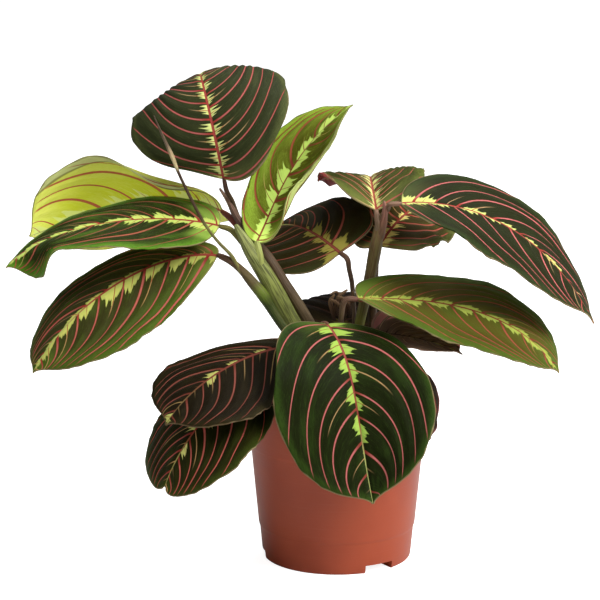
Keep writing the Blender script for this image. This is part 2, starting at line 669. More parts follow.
LEAF_STALKS = {
    "back_centre": [
        [12, 15, FOOT, 1.9], [11.5, 13, 125, 1.7], [10, 11, 163, 1.5], [9, 10, 174, 1.5],
        [7.5, 8.5, 181, 1.5], [6.1, 7, 188.4, 1.7], [2.5, 11.4, 190.7, 1.5],
    ],
    "right_arching": [
        [5, -17, FOOT, 2.3], [5, -19, 120, 2.2], [3, -27, 146, 1.9], [2, -31, 160, 1.6],
        [5.2, -33.7, 171.3, 1.8], [11.1, -32.2, 171, 1.6],
    ],
    "front": [
        [-4, -14, FOOT, 2.6], [-4, -14, 120, 2.4], [-5, -17, 139, 2], [-6, -20, 147, 1.6],
        [-9.3, -28.6, 154.7, 1.8], [-7.3, -34.2, 156.1, 1.6],
    ],
    "low_left_upper": [
        [-12, -16, FOOT, 2.2], [-12, -18, 118, 2.1], [-14, -30, 134, 1.9], [-18, -40, 142, 1.8],
        [-23.4, -45.9, 144.9, 1.95], [-29.2, -44.2, 144.1, 1.7],
    ],
    "low_left_lower": [
        [-20, -12, FOOT, 2.2], [-22, -16, 112, 2.1], [-28, -26, 125, 1.9], [-37, -36, 129, 1.75],
        [-49, -37.4, 125.3, 1.95], [-52.6, -42.3, 125, 1.7],
    ],
    "shaded_right": [
        [16, -9, FOOT, 1.7], [16, -7, 125, 1.6], [16.3, -5.4, 136, 1.6], [17.6, -5, 141.5, 1.7],
        [22.3, -8.4, 142.8, 1.5],
    ],
    "behind_front": [
        [12, -22, FOOT, 1.8], [10, -18, 106, 1.7], [10, -17, 115, 1.7], [14.6, -19.4, 122.6, 1.8],
        [17.6, -24.3, 125.6, 1.6],
    ],
    "shaded_back": [
        [1, 18, FOOT, 1.9], [2, 12, 118, 1.8], [2.5, 9.5, 129, 1.7], [2.8, 9.7, 135, 1.8],
        [3, 14.4, 139.4, 1.6],
    ],
}

leaf_stalk_skin = stem_skin("leaf_stalk_skin", [
    (0, (62, 50, 34)), (0.6, (82, 64, 48)), (0.88, (86, 64, 50)), (1, (110, 66, 54)),
], (132, 112, 84), 0.5)
for seed, (stalk_name, points) in enumerate(LEAF_STALKS.items(), start=20):
    stalk = stem(f"leaf_stalk_{stalk_name}", points, reach=LEAF_HOLD, flutes=0.02, seed=seed)
    dress(stalk, f"stalk_{stalk_name}", leaf_stalk_skin)


# Dried scales: brown papery remains of old leaf sheaths, thin, ribbed and matt. They have withered
# and curled between the stalks on the right, where they stay caught.

DRIED_SCALES = [
    [[-2, -23, 156, 0.6], [-3.5, -24, 163, 1.1], [-4.5, -23, 168, 0.8], [-2, -23.5, 172, 0.3]],
    [[7, -24, 158, 0.6], [6.5, -26, 165, 1], [4, -27, 170, 0.7], [-1, -26.5, 171.5, 0.25]],
    [[1.5, -24, 157, 0.6], [-1, -24.5, 164, 0.9], [1, -23.5, 171, 0.7], [6, -23, 175, 0.25]],
    [[3, -21, 155, 0.6], [6, -20, 163, 0.9], [9.5, -21, 169, 0.6], [9, -23.5, 174, 0.25]],
    [[4, -26, 158, 0.5], [2.5, -27.5, 164, 0.8], [-1, -27, 168, 0.6], [-5, -25, 169.5, 0.25]],
    [[-1, -22, 160, 0.5], [1.5, -21.5, 168, 0.8], [-1, -22.5, 173.5, 0.5], [-5, -24, 172, 0.25]],
]

scale_skin = stem_skin("dried_scale_skin", [
    (0, (70, 52, 34)), (0.5, (96, 70, 46)), (1, (136, 108, 76)),
], (50, 30, 24), 0.9, roughness=0.7)
for number, points in enumerate(DRIED_SCALES):
    scale = stem(f"dried_scale_{number}", points, lap=0.5, flutes=0.12, seed=40 + number)
    dress(scale, "stalk_right_arching", scale_skin)


# Leaf blades: thin and velvety, pleated along six to twelve pairs of veins that leave the midrib like
# the bones of a herring and run up to the margin. Veins and midrib are rose red, ragged lime blotches lie
# along the midrib, and the rest is dark green with a lighter rim. Each grew in its own bend and fold.

MESH_ROWS = 112
MESH_COLUMNS = 22
COLUMN_CROWDING = 1.35
MIDRIB_STEPS = 401
BLADE_THICKNESS = 0.7
MIDRIB_THICKNESS = 1.9
KEEL_WIDTH = 1.2
PLEAT_DEPTH = 0.45
GROOVE_DEPTH = 0.35
GROOVE_WIDTH = 1.1
SHOULDER_RISE = 0.3
SHOULDER_AT = 3.0
SHOULDER_WIDTH = 2.0

# the margin: how far up the lobes reach, and where the tip starts to narrow and to draw out
LOBE_REACH = 2.2
NARROWING = 0.25
NARROWS_FROM = 0.8
POINT_FROM = 0.9
POINT_SPREAD = 4

# the veins: closer at the base, leaving the midrib in an arc and swinging up along the margin
VEIN_CROWDING = 1.2
VEIN_REACH = 0.4
VEIN_JOINS_MARGIN = 0.45
VEIN_END_FADE = 0.3
VEIN_END_PULL = 6.9

# steps over which a direction is measured, and the least bend that a half is given
ANGLE_STEP = 0.02
CURVE_STEP = 0.0005
LEAST_BEND = 1e-5

# along the edge: the two halves wave and ripple out of step, and the margin is scalloped near the base
WAVE_LAG = 2.0
RIPPLES_PER_WAVE = 3.7
RIPPLE_LAG = 1.3
SCALLOP_EDGE = 8
SCALLOP_FULL_ROW = 3
SCALLOP_END = 1.3


def unit(vectors):
    return vectors / np.linalg.norm(vectors, axis=-1, keepdims=True)


def blend(start, end, share):
    return start + (end - start) * share


def bezier(corners, t):
    t = t[..., None]
    weights = [(1 - t) ** 3, 3 * t * (1 - t) ** 2, 3 * t * t * (1 - t), t ** 3]
    return sum(weight * np.array(corner, float) for weight, corner in zip(weights, corners))


def margin_point(leaf, half, angle):
    """Point of the flat margin at an angle of 0 at the base to pi at the tip, as [across, along]."""
    sweep = angle / np.pi
    share = (1 - np.cos(angle)) / 2
    lobe = np.sin(np.minimum(LOBE_REACH * angle, np.pi)) ** 2
    narrows = NARROWING * np.maximum(0, (sweep - NARROWS_FROM) / (1 - NARROWS_FROM)) ** 2
    point = np.maximum(0, (sweep - POINT_FROM) / (1 - POINT_FROM)) ** 3 - share ** POINT_SPREAD
    across = half["width"] * np.sin(angle) * (1 + half["egg"] * np.cos(angle)) * (1 - narrows)
    along = leaf["length"] * share - leaf["lobe"] * lobe + leaf["point"] * point
    return np.stack([across, along], axis=-1)


def vein_end_angle(leaf, start):
    """Where on the margin the vein ends that leaves the midrib at start, a share of its length."""
    short = (180 - leaf["fan"]) * (1 - start) ** VEIN_END_FADE / (1 + VEIN_END_PULL * start)
    return np.radians(180 - short)


def vein_point(leaf, half, row, share):
    """Point on the vein at a row, two rows to each pair, at a share of the way out from the midrib."""
    start = (row / (2 * leaf["pairs"])) ** VEIN_CROWDING
    end_angle = vein_end_angle(leaf, start)
    first = np.stack([np.zeros_like(start), start * leaf["length"]], axis=-1)
    last = margin_point(leaf, half, end_angle)
    before = margin_point(leaf, half, end_angle - ANGLE_STEP)
    after = margin_point(leaf, half, np.minimum(end_angle + ANGLE_STEP, np.pi))
    reach = VEIN_REACH * np.linalg.norm(last - first, axis=-1, keepdims=True)
    leaving = np.radians(blend(*leaf["leaving"], start))
    leave = np.stack([np.sin(leaving), np.cos(leaving)], axis=-1) * reach
    arrive = unit(blend(unit(last - first), unit(after - before), VEIN_JOINS_MARGIN)) * reach
    return bezier([first, first + leave, last - arrive, last], share)


def flat_point(leaf, half, row, share):
    """As vein_point, and below row 1 passing over to the margin at the base of the leaf."""
    on_vein = vein_point(leaf, half, np.clip(row, 1, 2 * leaf["pairs"] - 0.03), share)
    on_margin = margin_point(leaf, half, vein_end_angle(leaf, 0.0) * share)
    return blend(on_margin, on_vein, np.clip(row, 0, 1)[..., None])


def bent(leaf, half, sign, flat):
    """Flat points of one half placed in space: along the midrib's curve, folded, curled and waved."""
    across, along = flat[..., 0], flat[..., 1]
    steps = np.linspace(0, 1, MIDRIB_STEPS)
    line = bezier(leaf["midrib"], steps)
    run = np.concatenate([[0], np.cumsum(np.linalg.norm(np.diff(line, axis=0), axis=1))])
    share = np.clip(along / leaf["length"], 0, 1)
    t = np.interp(share * leaf["length"], run, steps)
    near = np.clip(t, 2 * CURVE_STEP, 1 - 2 * CURVE_STEP)
    ahead = bezier(leaf["midrib"], near + CURVE_STEP)
    tangent = unit(ahead - bezier(leaf["midrib"], near - CURVE_STEP))
    centre = bezier(leaf["midrib"], t) + tangent * (along - share * leaf["length"])[..., None]
    side = blend(np.array(leaf["side"][0], float), np.array(leaf["side"][1], float), share[..., None])
    side = unit(side - tangent * np.sum(side * tangent, axis=-1, keepdims=True))
    up = np.cross(side, tangent)
    passed = np.clip((share - leaf["turn"][0]) / (leaf["turn"][1] - leaf["turn"][0]), 0, 1)
    passed = passed * passed * (3 - 2 * passed)
    fold = np.radians(blend(*half["fold"], passed))
    bend = np.radians(blend(*half["curl"], passed)) / half["width"]
    bend = np.where(np.abs(bend) < LEAST_BEND, LEAST_BEND, bend)
    angle = fold + bend * across
    out = (np.sin(angle) - np.sin(fold)) / bend
    rise = (np.cos(fold) - np.cos(angle)) / bend
    swing = 2 * np.pi * leaf["waves"] * along / leaf["length"] + WAVE_LAG * sign
    edge = across / half["width"]
    wave = leaf["wave_height"] * edge ** 2 * np.sin(swing)
    ripples = RIPPLES_PER_WAVE * swing + RIPPLE_LAG * sign + leaf["seed"]
    ripple = leaf["ripple"] * edge ** 6 * np.sin(ripples)
    return centre + side * (sign * out)[..., None] + up * (rise + wave + ripple)[..., None]


def blade_places(leaf):
    """Everything that is known of each grid vertex: its place, its normal and its flat measures."""
    rows = 2 * leaf["pairs"] * np.linspace(0, 1, MESH_ROWS + 1)
    steps = np.arange(-MESH_COLUMNS, MESH_COLUMNS + 1) / MESH_COLUMNS
    share = np.sign(steps) * np.abs(steps) ** COLUMN_CROWDING
    row, across_share = np.meshgrid(rows, share, indexing="ij")
    right = across_share >= 0
    sign = np.where(right, 1.0, -1.0)
    between_veins = np.cos(np.pi * (row + 2 * np.where(right, leaf["stagger"], 0.0)))
    lasting = np.clip(SCALLOP_END - row / leaf["pairs"], 0, 1)
    near_base = np.minimum(row / SCALLOP_FULL_ROW, 1) * lasting
    scallop = leaf["scallop"] * np.abs(across_share) ** SCALLOP_EDGE * between_veins * near_base
    flats, places = [], []
    for key, value in (("left", -1.0), ("right", 1.0)):
        flat = flat_point(leaf, leaf[key], row, np.abs(across_share))
        flat[..., 0] += scallop
        flats.append(flat)
        places.append(bent(leaf, leaf[key], value, flat))
    flat = np.where(right[..., None], flats[1], flats[0])
    place = np.where(right[..., None], places[1], places[0])
    normal = unit(np.cross(np.gradient(place, axis=1), np.gradient(place, axis=0)))
    normal[-1] = normal[-2]
    mirrored = flat * np.stack([sign, np.ones_like(sign)], axis=-1)
    step_out = np.gradient(mirrored, axis=1)
    step_up = np.gradient(mirrored, axis=0) * MESH_ROWS / leaf["pairs"]
    gap = np.abs(step_out[..., 0] * step_up[..., 1] - step_out[..., 1] * step_up[..., 0])
    gap = gap / np.maximum(np.linalg.norm(step_out, axis=-1), 1e-6)
    lengths = np.linalg.norm(np.diff(mirrored, axis=1), axis=-1)
    down = np.concatenate([np.zeros((len(rows), 1)), np.cumsum(lengths, axis=1)], axis=1)
    down = np.abs(down - down[:, MESH_COLUMNS][:, None])
    margins = [margin_point(leaf, leaf[key], np.linspace(0, np.pi, 240)) for key in ("left", "right")]
    to_margin = np.where(right, distance_to(margins[1], flat), distance_to(margins[0], flat))
    return {
        "row": row, "share": across_share, "place": place, "normal": normal,
        "from_midrib": flat[..., 0], "down_vein": down, "to_margin": to_margin, "vein_gap": gap,
    }


def distance_to(line, points):
    """Distance from each point to the nearest point of a line."""
    flat = points.reshape(-1, 2)
    nearest = np.full(len(flat), 1e9)
    for start, end in zip(line[:-1], line[1:]):
        run = end - start
        t = np.clip((flat - start) @ run / max(run @ run, 1e-12), 0, 1)
        nearest = np.minimum(nearest, np.linalg.norm(flat - start - t[:, None] * run, axis=1))
    return nearest.reshape(points.shape[:-1])


def pleats(leaf, known):
    """How far the upper face rises between the veins and sinks at them, and swells beside the midrib."""
    share = np.abs(known["share"])
    late = np.where(known["share"] > 0, leaf["stagger"], 0.0)
    at_vein = np.cos(np.pi * (known["row"] + 2 * late))
    fade = np.minimum(known["row"], 1.0) * np.minimum(leaf["pairs"] - known["row"] / 2, 1.0)
    pleat = PLEAT_DEPTH * np.sin(np.pi * share) * at_vein * fade
    groove = -GROOVE_DEPTH * np.exp(-(known["from_midrib"] / GROOVE_WIDTH) ** 2)
    beside = np.exp(-((known["from_midrib"] - SHOULDER_AT) / SHOULDER_WIDTH) ** 2)
    shoulder = SHOULDER_RISE * beside * fade
    return pleat + groove + shoulder


def blade(leaf):
    """One leaf blade: a grid laid over the veins, thickened, with a keel under the midrib."""
    line = bezier(leaf["midrib"], np.linspace(0, 1, MIDRIB_STEPS))
    leaf["length"] = np.linalg.norm(np.diff(line, axis=0), axis=1).sum()
    known = blade_places(leaf)
    piece, column, row = grid(leaf["name"], 2 * MESH_COLUMNS, MESH_ROWS)
    top = known["place"] + known["normal"] * (BLADE_THICKNESS / 2 + pleats(leaf, known))[..., None]
    piece.data.vertices.foreach_set("co", (top[row, column] / 1000).ravel())
    for name in ("from_midrib", "down_vein", "to_margin", "vein_gap"):
        set_attribute(piece, name, "FLOAT", known[name][row, column])
    corners = np.empty(len(piece.data.loops), int)
    piece.data.loops.foreach_get("vertex_index", corners)
    across = (known["share"][row, column] + 1) / 2
    along = known["row"][row, column] / (2 * leaf["pairs"])
    layout = np.stack([across, along], axis=-1)[corners]
    piece.data.uv_layers[0].data.foreach_set("uv", layout.ravel())
    solidify = piece.modifiers.new("thickness", "SOLIDIFY")
    solidify.thickness = BLADE_THICKNESS / 1000
    solidify.offset = -1
    solidify.material_offset = 1
    bpy.ops.object.modifier_apply(modifier=solidify.name)
    raise_keel(leaf, piece, known, column, row)
    bpy.ops.object.mode_set(mode="EDIT")
    bpy.ops.mesh.select_all(action="SELECT")
    bpy.ops.mesh.remove_doubles(threshold=0.00002)
    bpy.ops.object.mode_set(mode="OBJECT")
    bpy.ops.object.shade_smooth()
    return piece


def raise_keel(leaf, piece, known, column, row):
    """Push the underside away from the midrib, most at the base."""
    count = len(column)
    places = vertex_places(piece)
    depth = (MIDRIB_THICKNESS - BLADE_THICKNESS) * (1 - known["row"] / (2 * leaf["pairs"]))
    depth = depth * np.exp(-(known["from_midrib"] / KEEL_WIDTH) ** 2)
    drop = known["normal"][row, column] * depth[row, column][:, None] / 1000
    places[count:2 * count] -= drop
    piece.data.vertices.foreach_set("co", places.ravel())


def leaf_pattern():
    """The markings of a leaf, from its own measures: veins, midrib, lime blotches, streaks and rim."""
    measures = [
        "Across", "Along", "From midrib", "Down vein", "To margin", "Vein gap", "Vein pairs", "Seed",
        "Stagger",
    ]
    settings = {
        "Vein width": 1.5, "Midrib width": 2.0, "Lime reach": 6.0, "Lime end": 0.9, "Lime band": 1.0,
        "Lime tilt": 0.0, "Lime base": 0.6, "Lime peak": 0.05, "Lime spread": 1.0, "Lime body": 0.6,
        "Lime share": 1.0, "Rim width": 10.0, "Rim tilt": 0.0, "Flush left": 0.0, "Flush right": 0.0,
        "Flush from": 0.1, "Flush end": 1.2,
    }
    colours = ["Dark", "Fresh", "Lime", "Vein", "Midrib", "Midrib tip", "Edge", "Flush"]
    inputs = {**dict.fromkeys(measures + list(settings), "Float"), **dict.fromkeys(colours, "Color")}
    tree, given, result = new_group("leaf pattern", inputs, {"Colour": "Color", "Height": "Float"})
    for name, value in settings.items():
        tree.interface.items_tree[name].default_value = value

    def times(first, second):
        return calculate(tree, "MULTIPLY", first, second)

    def ratio(first, second):
        return calculate(tree, "DIVIDE", first, second)

    def add(first, second):
        return calculate(tree, "ADD", first, second)

    def less(first, second):
        return calculate(tree, "SUBTRACT", first, second)

    def larger(first, second):
        return calculate(tree, "MAXIMUM", first, second)

    def scaled(value, factor, offset):
        return calculate(tree, "MULTIPLY_ADD", value, factor, offset)

    def absolute(value):
        return calculate(tree, "ABSOLUTE", value)

    def ramp(value, start, end, low=0.0, high=1.0):
        return ramp_to(tree, value, start, end, low, high)

    def mix(share, first, second):
        return mix_colours(tree, share, first, second)

    def wavering(place, detail):
        """Noise along a line."""
        inputs = {"W": place, "Scale": 1.0, "Detail": detail}
        return add_node(tree, "ShaderNodeTexNoise", inputs, noise_dimensions="1D")

    def grain(across, along, scale, detail, roughness):
        """Noise over one half of the leaf."""
        place = add_node(tree, "ShaderNodeCombineXYZ", {0: across, 1: along, 2: sided_seed})
        return clouds(tree, place, scale, detail, roughness)

    side = calculate(tree, "GREATER_THAN", given["Across"], 0.5)
    out = absolute(scaled(given["Across"], 2.0, -1.0))
    sided_seed = scaled(side, 7.3, given["Seed"])
    to_right = scaled(side, 2.0, -1.0)
    wander = wavering(scaled(given["Along"], 5.0, sided_seed), 0.0)
    shift = add(times(less(wander, 0.5), 0.4), times(side, given["Stagger"]))
    phase = scaled(given["Along"], given["Vein pairs"], shift)

    # main veins, darker where they leave the midrib, thinner towards the margin
    vein_id = add(calculate(tree, "FLOOR", phase), times(sided_seed, 3.1))
    vein_chance = add_node(tree, "ShaderNodeTexWhiteNoise", {"W": vein_id}, noise_dimensions="1D")
    off_vein = absolute(less(calculate(tree, "FRACT", phase), 0.5))
    vein_distance = times(off_vein, given["Vein gap"])
    narrowing = scaled(out, -0.55, 1.0)
    uneven = scaled(vein_chance, 0.45, 0.7)
    half_width = times(times(narrowing, uneven), times(given["Vein width"], 0.5))
    beyond = less(vein_distance, half_width)
    vein_mask = times(ramp(beyond, 0.16, -0.1), ramp(out, 1.0, 0.9))
    core = times(ramp(beyond, 0.05, -0.3), ramp(given["Down vein"], 2.0, 9.0))

    # cells between two veins, each with its own chance values
    shifted = add(phase, 0.5)
    between = calculate(tree, "FRACT", shifted)
    cell_id = add(calculate(tree, "FLOOR", shifted), times(sided_seed, 5.7))
    cell = tree.nodes.new("ShaderNodeTexWhiteNoise")
    cell.noise_dimensions = "1D"
    tree.links.new(cell_id, cell.inputs["W"])
    parts = tree.nodes.new("ShaderNodeSeparateColor")
    tree.links.new(cell.outputs["Color"], parts.inputs["Color"])
    chance_a, chance_b, chance_c = parts.outputs

    # thin side vein in the middle of each cell, which runs out before the margin
    middle = scaled(chance_b, 0.24, 0.34)
    off_side = less(between, middle)
    side_distance = times(absolute(off_side), given["Vein gap"])
    side_length = scaled(times(chance_c, chance_c), 34.0, 3.0)
    side_mask = times(ramp(side_distance, 0.42, 0.1), 0.9)
    side_mask = times(side_mask, ramp(less(side_length, given["Down vein"]), -1.0, 10.0))

    # lime blotches: each cell has a rounded body round its side vein, with three pointed teeth
    def tooth(place, below, above, height):
        off = ratio(less(off_side, place), given["Lime spread"])
        rising = scaled(off, height / below, height)
        falling = scaled(off, -height / above, height)
        return larger(calculate(tree, "MINIMUM", rising, falling), 0.0)

    ragged = wavering(scaled(phase, 9.0, sided_seed), 3.0)
    body = times(calculate(tree, "POWER", tooth(0.0, 0.3, 0.44, 1.0), 0.45), given["Lime body"])
    side_teeth = larger(tooth(0.26, 0.14, 0.16, 0.85), tooth(-0.18, 0.1, 0.14, 0.6))
    teeth = larger(tooth(0.0, 0.2, 0.26, 1.0), side_teeth)
    profile = times(larger(body, teeth), scaled(ragged, 0.8, 0.6))
    band = times(given["Lime band"], ramp(given["Along"], 0.42, 0.05, 0.0, 0.5))
    profile = larger(profile, times(band, scaled(ragged, 1.0, 0.5)))
    from_peak = absolute(less(given["Along"], given["Lime peak"]))
    shrink = larger(scaled(from_peak, -0.95, 1.1), 0.35)
    gone = ramp(less(given["Along"], given["Lime end"]), 0.05, -0.02)
    size = times(scaled(chance_a, 0.55, 0.75), given["Lime reach"])
    size = times(size, calculate(tree, "LESS_THAN", chance_b, given["Lime share"]))
    size = times(size, scaled(to_right, given["Lime tilt"], 1.0))
    reach = times(times(times(size, shrink), gone), profile)
    inside = less(reach, given["Down vein"])
    lime_mask = times(ramp(inside, -0.2, 0.25), ramp(reach, 0.5, 1.1))
    lime_core = ramp(inside, 0.0, 1.8, 0.5, 1.0)
    base = times(ramp(given["Along"], 0.14, 0.03), ramp(given["Down vein"], 32.0, 8.0))
    base = times(base, given["Lime base"])

    # fine streaks along the veins, broad clouds and small specks
    streak = grain(times(phase, 9.0), times(given["Down vein"], 0.05), 2.0, 4.0, 0.65)
    cloud = grain(times(given["Along"], 7.0), times(given["Across"], 5.0), 1.0, 2.0, 0.5)
    specks = grain(times(phase, 12.0), times(given["Down vein"], 0.6), 1.0, 3.0, 0.7)

    # ground colour: dark between the veins, fresher towards the margin, flushed red in places
    rim_width = times(given["Rim width"], scaled(to_right, given["Rim tilt"], 1.0))
    rim = ratio(given["To margin"], rim_width)
    rim = add(rim, times(less(add(streak, cloud), 1.0), 0.9))
    ground = mix(ramp(rim, 0.0, 1.0), given["Fresh"], given["Dark"])
    ground = mix(ramp(streak, 0.48, 0.75, 0.0, 0.5), ground, given["Fresh"])
    ground = mix(ramp(cloud, 0.5, 0.7, 0.0, 0.35), ground, given["Fresh"])
    ground = mix(ramp(specks, 0.46, 0.7, 0.0, 0.5), ground, given["Dark"])
    ground = mix(ramp(specks, 0.44, 0.28, 0.0, 0.3), ground, given["Fresh"])
    flush = add(times(given["Flush right"], side), times(given["Flush left"], less(1.0, side)))
    tapered = ratio(given["Along"], given["Flush end"])
    border_at = add(given["Flush from"], times(tapered, less(1.0, given["Flush from"])))
    from_border = less(out, border_at)
    border = times(flush, ramp(absolute(from_border), 0.04, 0.01, 0.0, 0.6))
    flush = times(flush, ramp(from_border, -0.01, 0.03))
    flush = times(flush, scaled(streak, 0.8, 0.5))
    ground = mix(flush, ground, given["Flush"])
    ground = mix(border, ground, given["Edge"])
    half_lime = mix(0.3, given["Fresh"], given["Lime"])
    ground = mix(base, ground, half_lime)
    lime_shade = mix(lime_core, half_lime, given["Lime"])
    painted = mix(lime_mask, ground, lime_shade)
    pale = mix(0.35, given["Vein"], given["Lime"])
    side_colour = mix(lime_mask, pale, given["Midrib"])
    painted = mix(side_mask, painted, side_colour)
    vein_colour = mix(core, given["Midrib"], given["Vein"])
    painted = mix(vein_mask, painted, vein_colour)

    # midrib, red at the base and green at the tip, and the pale edge
    rib_half = calculate(tree, "POWER", less(1.02, given["Along"]), 0.6)
    rib_half = times(rib_half, times(given["Midrib width"], 0.5))
    off_rib = less(given["From midrib"], rib_half)
    rib_mask = ramp(off_rib, 0.18, -0.12)
    rib_core = mix(0.4, given["Midrib"], given["Vein"])
    rib_red = mix(ramp(off_rib, -0.25, -0.6), given["Midrib"], rib_core)
    rib_colour = mix(ramp(given["Along"], 0.62, 0.86), rib_red, given["Midrib tip"])
    painted = mix(rib_mask, painted, rib_colour)
    edge_mask = ramp(given["To margin"], 0.85, 0.25, 0.0, 0.8)
    painted = mix(edge_mask, painted, given["Edge"])
    height = scaled(vein_mask, -0.35, times(streak, 0.65))
    give(tree, result, {"Colour": painted, "Height": height})
    return tree


LEAF_PATTERN = leaf_pattern()


def leaf_skin(name, leaf, looks, sheen):
    """One face of a leaf, with the pattern's settings and colours in looks."""
    material, tree, shader = new_material(name, LEAF_ROUGHNESS, 0.05)
    shader.inputs["Sheen Weight"].default_value = sheen
    shader.inputs["Sheen Roughness"].default_value = 0.5
    layout = tree.nodes.new("ShaderNodeUVMap")
    layout.uv_map = "UVMap"
    apart = tree.nodes.new("ShaderNodeSeparateXYZ")
    tree.links.new(layout.outputs["UV"], apart.inputs["Vector"])
    inputs = {
        "Across": apart.outputs["X"], "Along": apart.outputs["Y"], "Seed": leaf["seed"],
        "Stagger": leaf["stagger"], "Vein pairs": leaf["pairs"],
    }
    for measure in ("From midrib", "Down vein", "To margin", "Vein gap"):
        inputs[measure] = measured(tree, measure.lower().replace(" ", "_"), "Fac")
    for socket, value in looks.items():
        inputs[socket] = srgb(*value) if isinstance(value, tuple) else value
    painted = add_group(tree, LEAF_PATTERN, inputs)
    tree.links.new(painted["Colour"], shader.inputs["Base Color"])
    bump(tree, shader, painted["Height"], 0.5)
    return material


LEAF_ROUGHNESS = 0.5
UPPER_SHEEN = 0.015
UNDER_SHEEN = 0.01
DARK_LEAF = {
    "Dark": (36, 40, 16), "Fresh": (72, 84, 36), "Lime": (214, 230, 120), "Vein": (214, 112, 114),
    "Midrib": (160, 58, 50), "Midrib tip": (184, 192, 112), "Edge": (146, 128, 92),
    "Lime reach": 9.0, "Lime end": 0.95, "Rim width": 8.0, "Vein width": 1.5, "Midrib width": 2.1,
}
PURPLE_UNDERSIDE = {
    "Dark": (92, 44, 44), "Fresh": (120, 72, 60), "Lime": (124, 96, 70), "Vein": (150, 62, 66),
    "Midrib": (150, 66, 66), "Midrib tip": (140, 86, 70), "Edge": (140, 96, 76),
    "Lime reach": 4.0, "Vein width": 1.2, "Midrib width": 2.8,
}
PALE_UNDERSIDE = {
    "Dark": (186, 200, 98), "Fresh": (204, 214, 124), "Lime": (206, 216, 128), "Vein": (122, 112, 54),
    "Midrib": (160, 132, 78), "Midrib tip": (190, 196, 110), "Edge": (150, 142, 84),
    "Lime reach": 4.0, "Vein width": 0.8, "Midrib width": 2.6,
}
PLAIN_LEAF = {
    "pairs": 8, "turn": [0, 1], "lobe": 3, "point": 4, "waves": 3, "wave_height": 0.8, "ripple": 0.35,
    "fan": 60, "leaving": [68, 38], "scallop": 0.7, "stagger": 0.3, "slot": "leaf_dark",
    "under": PURPLE_UNDERSIDE,
}
PLAIN_HALF = {"width": 40, "egg": 0.08, "fold": [0, 0], "curl": [-10, -10]}

